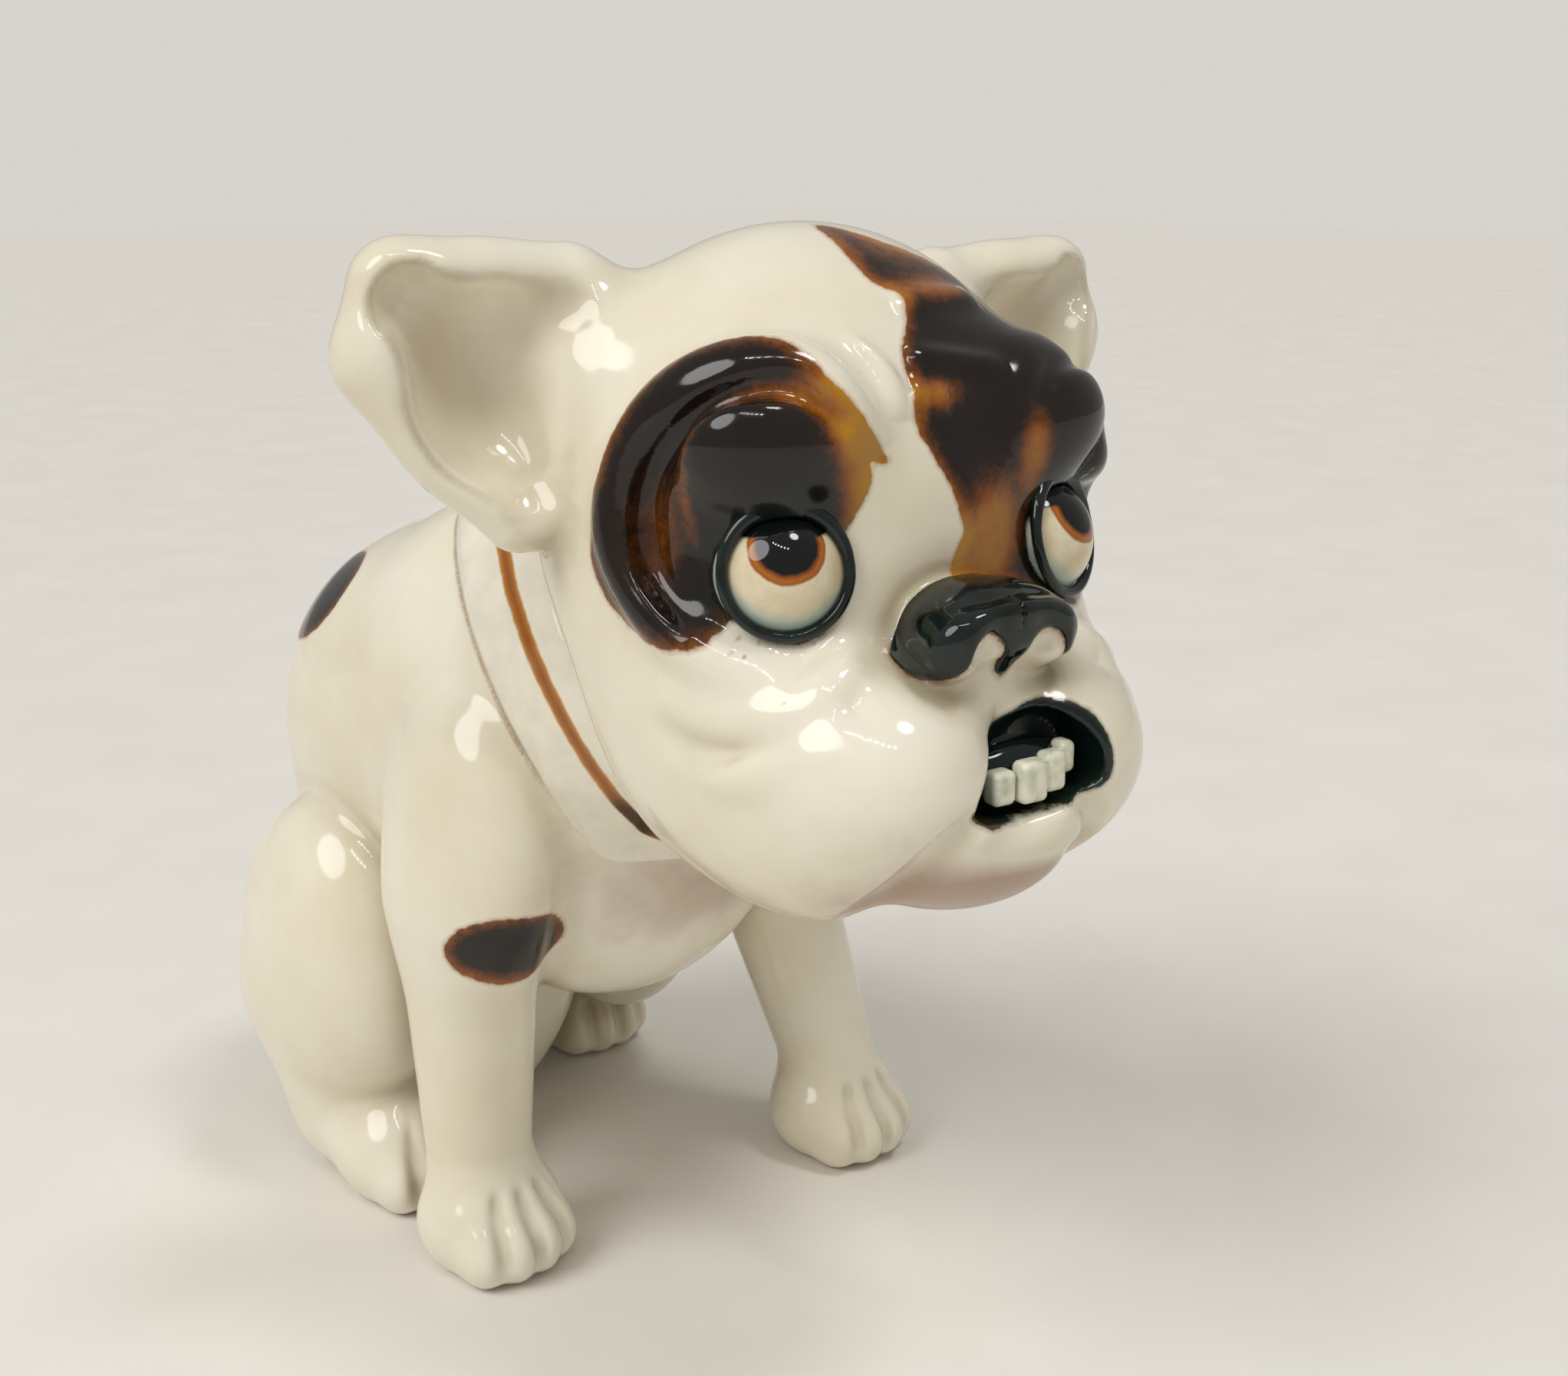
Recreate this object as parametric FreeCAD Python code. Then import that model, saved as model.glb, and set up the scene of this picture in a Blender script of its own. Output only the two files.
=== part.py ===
import FreeCAD, Part
import math
import os
from FreeCAD import Placement, Rotation, Vector

# A hollow glazed-ceramic bulldog, sitting, with its head turned to its right.
# Millimetres. +Z is up, -Y is where the chest faces, +X is the dog's left.
# The origin is the middle of the flat seat under the rump.

# ---- Body casting -------------------------------------------------------------------------
wall = 3.6                    # slip-cast wall of the hollow body and head
chest_half_width = 28.0
chest_half_length = 28.0
chest_half_height = 32.0
chest_height = 64.0           # middle of the chest above the ground
chest_ahead = 29.0            # middle of the chest ahead of the origin
back_half_width = 28.5
back_half_length = 29.0
back_half_height = 27.0
back_height = 70.0
back_ahead = 3.0
rump_half_width = 24.0
rump_half_length = 27.0
rump_half_height = 39.0
rump_height = 36.0            # middle of the rump above the ground
rump_behind = 1.0
neck_radius = 24.0
neck_root_radius = 26.5
neck_root_behind = 6.0        # root of the neck behind the middle of the chest
neck_root_rise = 14.0         # and above it
neck_reach = 29.0             # pivot of the head ahead of the middle of the chest
neck_rise = 24.0              # pivot of the head above the middle of the chest
neck_stub_short = 8.5         # the neck stub ends this far behind the pivot

# ---- Legs and tail ------------------------------------------------------------------------
shoulder_half_width = 9.0
shoulder_half_length = 15.0
shoulder_half_height = 20.0
shoulder_inset = 2.0          # middle of the shoulder inside the side of the chest
shoulder_ahead = 6.0          # and ahead of the middle of the chest
shoulder_low = 2.0            # and under it
elbow_drop = 10.0             # top of the straight leg under the middle of the shoulder
leg_radius = 9.3              # front leg just under the shoulder
ankle_radius = 7.7
paw_half_width = 10.0
paw_half_length = 11.5
paw_height = 14.5
toe_radius = 3.5
toe_count = 4
toe_fan = 23.0                # degrees from one toe to the next
right_paw_out = 25.0          # middle of each paw from the dog's middle plane
right_paw_ahead = 33.5        # and ahead of the origin
left_paw_out = 32.0
left_paw_ahead = 44.0
haunch_half_width = 12.5
haunch_half_length = 19.0
haunch_half_height = 24.0
haunch_height = 35.0
right_hind_paw_out = 22.5
right_hind_paw_ahead = 9.5
left_hind_paw_out = 27.0
left_hind_paw_ahead = -13.0
hock_length = 12.0
tail_radius = 5.0
tail_length = 13.0

# ---- Collar -------------------------------------------------------------------------------
collar_width = 9.0
collar_rise = 1.9             # how far the band stands off the neck
collar_behind = 14.5          # middle of the band behind the pivot of the head
collar_tilt = 14.5            # degrees: the band leans forward at the throat

# ---- Head, in its own frame: origin at its pivot on the neck, facing -Y --------------------
head_turn = -10.7             # degrees about the vertical, to the dog's right
skull_half_width = 31.5
skull_half_length = 29.0
skull_half_height = 33.0
skull_rise = 19.5             # middle of the skull above the pivot
skull_ahead = 15.0
cheek_half_width = 17.5
cheek_half_length = 20.0
cheek_half_height = 20.0
cheek_out = 12.0              # middle of each cheek from the middle plane of the head
cheek_behind = 1.0            # middle of the cheeks under the pivot
flew_half_width = 12.5        # the hanging upper lips
flew_half_length = 13.0
flew_half_height = 11.5
flew_spread = 10.5
flew_drop = 3.5               # middle of the lips under the pivot
muzzle_reach = 58.5           # front of the upper lips ahead of the pivot
jowl_half_width = 12.0        # the heavy lower cheeks, behind the lips
jowl_half_length = 14.5
jowl_half_height = 14.0
jowl_spread = 12.5
jowl_drop = 7.5
jowl_back = 8.5               # middle of the jowls behind that of the lips
bridge_radius = 7.0           # top of the muzzle, which the nose sits on
bridge_rise = 6.5
brow_half_width = 11.0
brow_half_length = 9.5
brow_half_height = 9.0
brow_spread = 15.5
brow_ahead = 17.0             # middle of the brows ahead of that of the skull
brow_rise = 11.0              # and above it
lid_half_width = 9.0          # the heavy upper eyelid
lid_half_height = 7.0
lid_rise = 14.0               # middle of the lid above the eye
temple_radius = 8.5           # fullness of the skull under each ear
temple_spread = 21.0
jaw_half_width = 14.5
jaw_half_height = 8.5
jaw_half_length = 13.5
nose_half_width = 8.6
nose_half_height = 5.0
nose_half_length = 6.5
nose_rise = 12.5
nostril_radius = 2.2
mouth_half_width = 8.2
mouth_half_height = 6.2
mouth_depth = 7.0
mouth_aside = 2.0             # the crooked mouth sits this far to the dog's left
eye_radius = 7.2
eye_aperture = 5.8            # radius of the circle that the eye ball shows through
eye_spread = 18.6
eye_rise = 17.5
rim_width = 1.6               # rolled clay ring around each eye
rim_rise = 1.2
rim_root = 5.0                # how deep the ring is let into the face
eye_proud = 0.7               # how far the middle of the ring stands off the face
ear_spread = 37.0             # middle of the ear from the middle plane
ear_rise = 36.0
ear_behind = 7.0              # middle of the ear ahead of the pivot
ear_half_width = 10.0
ear_half_height = 13.0
ear_rim_radius = 4.7          # rolled rim round the top and the outside of the ear
ear_foot_radius = 3.2         # and where it runs out on the cheek
ear_bowl_offset = 7.5         # middle of the hollow ahead of that of the ear
left_ear_drop = 2.2           # the left ear was set this much lower
tooth_width = 2.7
tooth_height = 3.8
tooth_thickness = 2.2
tooth_gap = 0.25
tooth_count = 4

ground = 0.0
reach = 130.0                 # longer than any form


# ---- Fields: signed distance from a lump of clay, blended into its neighbours --------------
def lump(centre, radii, turn=(0.0, 0.0, 0.0)):
    """Distance field of one ellipsoid; turn is (yaw, pitch, roll) in degrees."""
    back = Rotation(*turn).inverted().toMatrix()
    rows = ((back.A11, back.A12, back.A13), (back.A21, back.A22, back.A23),
            (back.A31, back.A32, back.A33))
    cx, cy, cz = centre

    def field(x, y, z):
        x, y, z = x - cx, y - cy, z - cz
        near = far = 0.0
        for (a, b, c), radius in zip(rows, radii):
            q = (a * x + b * y + c * z) / radius
            near += q * q
            far += q * q / (radius * radius)
        if far < 1e-12:
            return -min(radii)
        near = math.sqrt(near)
        return near * (near - 1.0) / math.sqrt(far)
    return field


def taper(start, end, start_radius, end_radius):
    """Distance field of a round bar that tapers from start to end."""
    sx, sy, sz = start
    dx, dy, dz = end[0] - sx, end[1] - sy, end[2] - sz
    length2 = dx * dx + dy * dy + dz * dz

    def field(x, y, z):
        x, y, z = x - sx, y - sy, z - sz
        t = min(max((x * dx + y * dy + z * dz) / length2, 0.0), 1.0)
        gap = math.sqrt((x - t * dx) ** 2 + (y - t * dy) ** 2 + (z - t * dz) ** 2)
        return gap - start_radius - (end_radius - start_radius) * t
    return field


def blend(first, *others):
    """Join lumps; each of the others is (field, softness of its join)."""
    def field(x, y, z):
        d = first(x, y, z)
        for other, softness in others:
            e = other(x, y, z)
            h = max(softness - abs(d - e), 0.0) / softness
            d = min(d, e) - h * h * softness / 4.0
        return d
    return field


def mirrored(field):
    """The +X half of the field, repeated on the -X side."""
    return lambda x, y, z: field(abs(x), y, z)


# ---- Solids taken off the fields ----------------------------------------------------------
def surface_point(field, heart, way, level=0.0):
    """The outermost point of the field's surface along way from the heart."""
    def depth(r):
        return field(heart.x + way.x * r, heart.y + way.y * r, heart.z + way.z * r) - level
    outside = inside = reach
    while inside > 0.0 and depth(inside) > 0.0:
        outside = inside
        inside -= max(0.6 * depth(inside), 0.4)
    inside = max(inside, 0.0)
    for _ in range(16):
        middle = (inside + outside) / 2.0
        if depth(middle) > 0.0:
            outside = middle
        else:
            inside = middle
    return heart + way * ((inside + outside) / 2.0)


def skin(rows):
    """Solid inside a smooth skin over rings of points that close to a point at both ends."""
    rings, rays = len(rows), len(rows[0])
    surface = Part.BSplineSurface()
    surface.buildFromPolesMultsKnots(
        rows, [4] + [1] * (rings - 4) + [4], [1] * (rays + 1),
        list(range(rings - 2)), list(range(rays + 1)), False, True, 3, 3)
    solid = Part.Solid(Part.Shell([surface.toShape()]))
    if solid.Volume < 0.0:
        solid.reverse()
    return solid


def round_form(field, heart, pole, rings, rays, level=0.0):
    """Solid of a rounded field: rings of rays from its heart, from the pole to its far side."""
    heart = Vector(*heart)
    turn = Rotation(Vector(0, 0, 1), Vector(*pole))
    rows = []
    for ring in range(rings + 1):
        polar = math.pi * ring / rings
        row = []
        for ray in range(rays if 0 < ring < rings else 1):
            around = 2.0 * math.pi * ray / rays
            way = turn.multVec(Vector(math.sin(polar) * math.cos(around),
                                      math.sin(polar) * math.sin(around), math.cos(polar)))
            row.append(surface_point(field, heart, way, level))
        rows.append(row * (rays // len(row)))
    return skin(rows)


def upright_form(field, foot, top, rings, rays):
    """Solid of a tall field: level rings about a line from its foot to its top."""
    foot, top = Vector(*foot), Vector(*top)
    low = surface_point(field, foot, Vector(0, 0, -1))
    high = surface_point(field, top, Vector(0, 0, 1))
    rows = [[low] * rays]
    for ring in range(1, rings):
        share = (1.0 - math.cos(math.pi * ring / rings)) / 2.0
        middle = low + (high - low) * share
        row = []
        for ray in range(rays):
            around = 2.0 * math.pi * ray / rays
            row.append(surface_point(field, middle, Vector(math.cos(around), math.sin(around), 0)))
        rows.append(row)
    return skin(rows + [[high] * rays])


def whole(shape):
    """The one piece that a cut leaves, without crumbs."""
    return max(shape.Solids, key=lambda solid: solid.Volume)


def beyond(point, way):
    """A block that holds everything beyond the plane through point square to way."""
    block = Part.makeBox(2 * reach, 2 * reach, 2 * reach, Vector(-reach, -reach, 0))
    return block.transformed(Placement(point, Rotation(Vector(0, 0, 1), way)).toMatrix())


def above_ground(solid):
    return solid.cut(beyond(Vector(0, 0, ground), Vector(0, 0, -1)))


# ---- Body ---------------------------------------------------------------------------------
pivot = Vector(0, -chest_ahead - neck_reach, chest_height + neck_rise)
collar_lean = Vector(0, -math.cos(math.radians(collar_tilt)), math.sin(math.radians(collar_tilt)))

body_field = mirrored(blend(
    lump((0, -chest_ahead, chest_height), (chest_half_width, chest_half_length, chest_half_height)),
    (lump((0, -back_ahead, back_height), (back_half_width, back_half_length, back_half_height)), 12),
    (lump((0, rump_behind, rump_height), (rump_half_width, rump_half_length, rump_half_height)), 14),
    (taper((0, -chest_ahead + neck_root_behind, chest_height + neck_root_rise), tuple(pivot),
           neck_root_radius, neck_radius), 10)))
body_heart = (0, -chest_ahead / 2, chest_height - 10)


def neck_cut(shorter):
    """Everything ahead of the end of the neck stub."""
    end = pivot + Vector(0, neck_stub_short + shorter, 0)
    return beyond(end, collar_lean)


def make_body_form():
    form = round_form(body_field, body_heart, (0, 0, 1), 22, 32)
    return whole(above_ground(form).cut(neck_cut(0.0)))


def make_body_casting(body_form):
    hollow = round_form(body_field, body_heart, (0, 0, 1), 16, 24, -wall)
    hollow = hollow.cut(beyond(Vector(0, 0, ground + wall), Vector(0, 0, -1))).cut(neck_cut(wall))
    return whole(body_form.cut(hollow))


def toes(paw_x, paw_y, spread):
    """The toe knuckles across the front of a paw, as lumps for a blend."""
    knuckles = []
    for toe in range(toe_count):
        angle = math.radians(toe_fan * (toe - (toe_count - 1) / 2))
        centre = (paw_x + math.sin(angle) * (paw_half_width * spread),
                  paw_y - math.cos(angle) * (paw_half_length - toe_radius * 0.75), toe_radius + 0.8)
        knuckles.append((lump(centre, (toe_radius * 0.86, toe_radius * 1.3, toe_radius + 0.8)), 1.2))
    return knuckles


def make_front_leg(side, paw_out, paw_ahead, body_form):
    x, y = side * paw_out, -paw_ahead
    shoulder_x = side * (chest_half_width - shoulder_inset)
    shoulder_y = -chest_ahead - shoulder_ahead
    shoulder = (shoulder_x, shoulder_y, chest_height - shoulder_low)
    field = blend(
        lump(shoulder, (shoulder_half_width, shoulder_half_length, shoulder_half_height)),
        (taper((shoulder_x, shoulder_y + 1, chest_height - shoulder_low - elbow_drop),
               (x, y + 1, paw_height), leg_radius, ankle_radius), 7),
        (lump((x, y - 1, paw_height / 2 - 1), (paw_half_width, paw_half_length - 2, paw_height / 2 + 1)), 4),
        *toes(x, y, 1.0))
    leg = upright_form(field, (x, y, paw_height / 2), shoulder, 20, 32)
    return whole(above_ground(leg).cut(body_form))


def make_hind_leg(side, paw_out, paw_ahead, body_form):
    x, y = side * paw_out, -paw_ahead
    haunch = (side * (rump_half_width + 1), 0, haunch_height)
    field = blend(
        lump(haunch, (haunch_half_width, haunch_half_length, haunch_half_height)),
        (taper((x, y, paw_height / 2), (side * (rump_half_width - 1), y + hock_length, paw_height / 2 + 3),
               ankle_radius, ankle_radius + 1), 6),
        (lump((x, y - 1, paw_height / 2 - 1), (paw_half_width, paw_half_length - 2, paw_height / 2 + 1)), 4),
        *toes(x, y, 1.0))
    leg = upright_form(field, (x, y, paw_height / 2), haunch, 20, 32)
    return whole(above_ground(leg).cut(body_form))


def make_tail(body_form):
    root = (0, rump_half_length * 0.75, rump_height * 0.45)
    tip = (0, rump_half_length * 0.9 + tail_length, rump_height * 0.3)
    field = taper(root, tip, tail_radius, tail_radius * 0.6)
    middle = tuple((Vector(*root) + Vector(*tip)) * 0.5)
    return whole(round_form(field, middle, (0, 1, 0), 10, 12).cut(body_form))


def make_collar(body_form, neighbours):
    """Band that follows the neck, domed across its width."""
    middle = pivot + Vector(0, collar_behind, 0)
    turn = Rotation(Vector(0, 0, 1), collar_lean)
    stations = 6
    wires = []
    for station in range(stations + 1):
        across = 2.0 * station / stations - 1.0
        rise = 0.25 + (collar_rise - 0.25) * (1.0 - across ** 4)
        centre = middle + collar_lean * (across * collar_width / 2)
        points = []
        for ray in range(36):
            around = 2.0 * math.pi * ray / 36
            way = turn.multVec(Vector(math.cos(around), math.sin(around), 0))
            points.append(surface_point(body_field, centre, way, rise))
        curve = Part.BSplineCurve()
        curve.interpolate(Points=points, PeriodicFlag=True)
        wires.append(Part.Wire(curve.toShape()))
    return whole(Part.makeLoft(wires, True).cut([body_form] + neighbours))


# ---- Head, in its own frame ---------------------------------------------------------------
head_place = Placement(pivot, Rotation(Vector(0, 0, 1), head_turn))
head_heart = (0, -skull_ahead * 1.5, skull_rise * 0.7)
flew_ahead = muzzle_reach - flew_half_length
mouth_middle = Vector(mouth_aside, -muzzle_reach + 0.5, -1.0)
jaw_middle = (0, -muzzle_reach + jaw_half_length + 1, -mouth_half_height - jaw_half_height + 3.0)
nose_middle = (0, -muzzle_reach + nose_half_length, nose_rise)

head_field = mirrored(blend(
    lump((0, -skull_ahead, skull_rise), (skull_half_width, skull_half_length, skull_half_height)),
    (lump((cheek_out, -skull_ahead - 11, -cheek_behind),
          (cheek_half_width, cheek_half_length, cheek_half_height)), 10),
    (lump((flew_spread, -flew_ahead, -flew_drop),
          (flew_half_width, flew_half_length, flew_half_height)), 5),
    (lump((jowl_spread, -flew_ahead + jowl_back, -jowl_drop),
          (jowl_half_width, jowl_half_length, jowl_half_height)), 6),
    (taper((0, -skull_ahead - 12, bridge_rise), (0, -flew_ahead, bridge_rise),
           bridge_radius, bridge_radius), 4),
    (lump((brow_spread, -skull_ahead - brow_ahead, skull_rise + brow_rise),
          (brow_half_width, brow_half_length, brow_half_height)), 6),
    (lump((eye_spread, -skull_ahead - brow_ahead - 3.5, eye_rise + lid_rise),
          (lid_half_width, lid_half_height, lid_half_height)), 3),
    (lump((temple_spread, -skull_ahead + 6, ear_rise),
          (temple_radius, temple_radius, temple_radius)), 8)))

eye_way = Vector(0.40, -0.88, 0.22).normalize()
eye_back = Vector(eye_spread, -skull_ahead - 25, eye_rise) - eye_way * 20
eye_middle = surface_point(head_field, eye_back, eye_way) + eye_way * eye_proud
eye_centre = eye_middle - eye_way * math.sqrt(eye_radius ** 2 - eye_aperture ** 2)


def eye_ball(grown=0.0):
    """Ball with its pole where it looks."""
    return Part.makeSphere(eye_radius + grown, eye_centre, eye_way)


def eye_rim():
    """Turned ring around the eye: a flat-rooted band with a rolled lip."""
    inner, outer = eye_aperture, eye_aperture + rim_width
    lip = Part.Arc(Vector(inner, 0, 0), Vector((inner + outer) / 2, 0, rim_rise), Vector(outer, 0, 0))
    sides = Part.makePolygon([Vector(outer, 0, 0), Vector(outer, 0, -rim_root),
                              Vector(inner, 0, -rim_root), Vector(inner, 0, 0)])
    profile = Part.Face(Part.Wire([lip.toShape()] + sides.Edges))
    ring = profile.revolve(Vector(0, 0, 0), Vector(0, 0, 1), 360)
    return ring.transformed(Placement(eye_middle, Rotation(Vector(0, 0, 1), eye_way)).toMatrix())


def stretched_ball(centre, radii):
    """Ellipsoid as an exact solid."""
    matrix = FreeCAD.Matrix()
    matrix.scale(*radii)
    return Part.makeSphere(1.0).transformGeometry(matrix).translated(Vector(*centre))


def mouth_hollow(grown=0.0):
    return stretched_ball(mouth_middle, (mouth_half_width + grown, mouth_depth + grown,
                                         mouth_half_height + grown))


def to_right(shape):
    """The same piece on the dog's right (-X)."""
    return shape.mirror(Vector(0, 0, 0), Vector(1, 0, 0))


def make_head_form():
    return whole(round_form(head_field, head_heart, (0, -1, 0), 22, 36).cut(mouth_hollow()))


def make_head_casting(head_form, neck):
    hollow = round_form(head_field, head_heart, (0, -1, 0), 16, 24, -wall)
    for backed in (mouth_hollow(wall), eye_ball(wall), to_right(eye_ball(wall))):
        hollow = whole(hollow.cut(backed))
    casting = whole(head_form.cut(hollow))
    for seated in (neck, eye_ball(), to_right(eye_ball()), eye_rim(), to_right(eye_rim())):
        casting = whole(casting.cut(seated))
    return casting


def make_ear(head_form, drop=0.0):
    """Upright cup with a rolled rim over its top and down to the cheek, open to the front."""
    rise = ear_rise - drop
    middle = (ear_spread, -ear_behind, rise)
    root = (ear_spread - 11, -ear_behind, rise + 10)
    tip = (ear_spread + 8, -ear_behind + 1, rise + 10)
    edge = (ear_spread + 10, -ear_behind + 1.5, rise + 3)
    foot = (ear_spread - 1, -ear_behind - 6, rise - 15)
    outer = blend(
        taper(root, tip, ear_rim_radius, ear_rim_radius),
        (taper(tip, edge, ear_rim_radius, ear_rim_radius), 4),
        (taper(edge, foot, ear_rim_radius, ear_foot_radius), 4),
        (lump(middle, (ear_half_width, 6.5, ear_half_height)), 6))
    deep = (ear_spread, -ear_behind - ear_bowl_offset, rise)
    inner = blend(
        lump(deep, (ear_half_width, 9.5, ear_half_height - 2)),
        (taper((ear_spread, -ear_behind - 6, rise + 1), (tip[0] + 1, tip[1] - 5, tip[2] - 1), 6, 3.4), 3),
        (taper((ear_spread - 2, -ear_behind - 8, rise - 3), (foot[0] - 0.5, foot[1] - 5, foot[2] + 2),
               6, 3), 3),
        (taper((ear_spread - 2, -ear_behind - 6, rise + 3), (root[0] + 2, root[1] - 7.5, root[2] - 3),
               6, 3.5), 3))
    cup = round_form(outer, middle, (0.2, -1, 0.15), 18, 28)
    bowl = round_form(inner, deep, (0.25, -1, 0.2), 14, 24)
    return whole(cup.cut(bowl).cut(head_form))


def make_nose(head_form):
    x, y, z = nose_middle
    field = mirrored(blend(
        lump(nose_middle, (nose_half_width, nose_half_length, nose_half_height)),
        (lump((nose_half_width * 0.6, y - 2, z - nose_half_height * 0.5), (3.6, 4, 3.4)), 2.5),
        (lump((0, y - 3, z - nose_half_height * 0.9), (1.6, 3.0, 2.8)), 2)))
    pad = round_form(field, nose_middle, (0, -1, 0), 14, 28)
    nostril = Part.makeSphere(nostril_radius, Vector(nose_half_width * 0.42, y - 6.5, z - 1.2))
    return whole(pad.cut([head_form, nostril, to_right(nostril)]))


def make_jaw(head_form):
    """Lower jaw: a chin with a lip that rises into the mouth."""
    x, y, z = jaw_middle
    field = mirrored(blend(
        lump(jaw_middle, (jaw_half_width, jaw_half_length, jaw_half_height)),
        (lump((jaw_half_width * 0.45, y - jaw_half_length + 5, z + jaw_half_height * 0.5), (4.5, 4, 3.2)), 3)))
    return whole(round_form(field, jaw_middle, (0, -1, 0), 14, 28).cut(head_form))


def make_teeth(jaw, head_form):
    """Lower front teeth in a row on the lip."""
    x, y, z = jaw_middle
    pegs = []
    for tooth in range(tooth_count):
        place = tooth - (tooth_count - 1) / 2
        centre = Vector(mouth_aside + place * (tooth_width + tooth_gap), y - jaw_half_length + 2.5 + 0.25 * place * place,
                        z + jaw_half_height - 1.5)
        peg = stretched_ball(centre, (tooth_width / 2, tooth_thickness / 2, tooth_height))
        pegs.append(whole(peg.cut([jaw, head_form])))
    return Part.makeCompound(pegs)


# ---- Build --------------------------------------------------------------------------------
def export(name, shape):
    shape.exportStep("parts/" + name + ".step")


def build():
    os.makedirs("parts", exist_ok=True)
    body = make_body_form()
    export("body_casting", make_body_casting(body))
    front_legs = [make_front_leg(-1, right_paw_out, right_paw_ahead, body),
                  make_front_leg(1, left_paw_out, left_paw_ahead, body)]
    export("front_leg_right", front_legs[0])
    export("front_leg_left", front_legs[1])
    export("hind_leg_right", make_hind_leg(-1, right_hind_paw_out, right_hind_paw_ahead, body))
    export("hind_leg_left", make_hind_leg(1, left_hind_paw_out, left_hind_paw_ahead, body))
    export("tail", make_tail(body))

    neck = body.transformed(head_place.inverse().toMatrix())
    head = make_head_form()
    jaw = make_jaw(head)
    eye = eye_ball()
    rim = eye_rim().cut(eye)
    pieces = {
        "head_casting": make_head_casting(head, neck),
        "lower_jaw": jaw,
        "teeth": make_teeth(jaw, head),
        "nose": make_nose(head),
        "ear_left": make_ear(head, left_ear_drop), "ear_right": to_right(make_ear(head)),
        "eye_left": eye, "eye_right": to_right(eye),
        "eye_rim_left": rim, "eye_rim_right": to_right(rim),
    }
    for name, shape in pieces.items():
        export(name, shape.transformed(head_place.toMatrix()))
    head_in_row = head.transformed(head_place.toMatrix())
    export("collar", make_collar(body, [head_in_row] + front_legs))


build()
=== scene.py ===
import math

import bpy
import numpy as np
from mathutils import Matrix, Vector


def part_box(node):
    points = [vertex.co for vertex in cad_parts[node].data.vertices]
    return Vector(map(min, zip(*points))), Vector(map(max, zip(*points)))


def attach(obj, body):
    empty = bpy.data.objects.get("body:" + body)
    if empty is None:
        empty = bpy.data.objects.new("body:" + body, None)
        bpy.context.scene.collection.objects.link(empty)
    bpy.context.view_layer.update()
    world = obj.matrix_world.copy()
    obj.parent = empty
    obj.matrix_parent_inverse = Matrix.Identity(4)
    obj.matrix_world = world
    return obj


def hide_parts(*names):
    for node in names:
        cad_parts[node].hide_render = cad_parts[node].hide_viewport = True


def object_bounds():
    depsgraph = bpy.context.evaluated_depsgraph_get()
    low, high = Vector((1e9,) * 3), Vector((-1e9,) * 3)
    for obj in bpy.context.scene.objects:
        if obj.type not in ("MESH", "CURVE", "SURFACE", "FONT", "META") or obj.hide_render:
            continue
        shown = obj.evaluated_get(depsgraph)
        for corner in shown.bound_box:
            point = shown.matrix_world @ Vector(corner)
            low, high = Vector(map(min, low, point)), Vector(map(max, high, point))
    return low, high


# The glazed skins of a sitting ceramic bulldog. Each one is a distance field in millimetres, in the
# row frame or in the head's own frame, that is meshed, painted by formula and then glazed.

# ---- Where things are -----------------------------------------------------------------------
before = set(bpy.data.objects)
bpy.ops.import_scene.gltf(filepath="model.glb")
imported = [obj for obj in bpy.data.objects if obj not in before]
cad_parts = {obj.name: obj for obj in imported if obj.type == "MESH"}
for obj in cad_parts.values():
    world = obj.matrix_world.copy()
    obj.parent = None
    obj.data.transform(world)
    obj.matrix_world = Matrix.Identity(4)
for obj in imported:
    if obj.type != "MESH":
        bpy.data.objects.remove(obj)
cad_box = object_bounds()

MM = 0.001
CELL = 0.6       # edge of one mesh cell on the big castings
FINE_CELL = 0.3  # and on the small pieces


def middle(node):
    """Middle of a node's box, in millimetres."""
    low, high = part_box(node)
    return np.array((low + high) / 2) / MM


eye_left, eye_right = middle("eye_left"), middle("eye_right")
eye_span = eye_left - eye_right
EYE_AHEAD, EYE_RISE = 37.0, 16.8        # eye centres from the pivot of the head on the neck
EYE_LIFT = 0.7                          # the glazed eyes sit this much higher than their solids
EYE_SPREAD = math.hypot(eye_span[0], eye_span[1]) / 2
EYE = np.array([EYE_SPREAD, -EYE_AHEAD, EYE_RISE + EYE_LIFT])
EYE_RADIUS = (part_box("eye_left")[1].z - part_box("eye_left")[0].z) / 2 / MM
EYE_WAY = np.array([0.40, -0.88, 0.22]) / np.linalg.norm([0.40, -0.88, 0.22])
RING_RADIUS, RING_OUT = 6.7, 4.2        # middle line of the rolled ring, and how far it lies out
RING_THIN, RING_SINK = 0.62, 0.05       # its half thickness below, and how far it sinks into the eye
RING_MIDDLE = EYE + EYE_WAY * RING_OUT

turn = math.atan2(eye_span[1], eye_span[0])
HEAD_TURN = np.array([[math.cos(turn), -math.sin(turn), 0],
                      [math.sin(turn), math.cos(turn), 0], [0, 0, 1]])
PIVOT = (eye_left + eye_right) / 2 - HEAD_TURN @ np.array([0, -EYE_AHEAD, EYE_RISE])


def in_row(head):
    """Points of the head's own frame, origin at its pivot and facing -Y, in the row frame."""
    return head @ HEAD_TURN.T + PIVOT


def as_is(row):
    """Points that are in the row frame already."""
    return row


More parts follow.
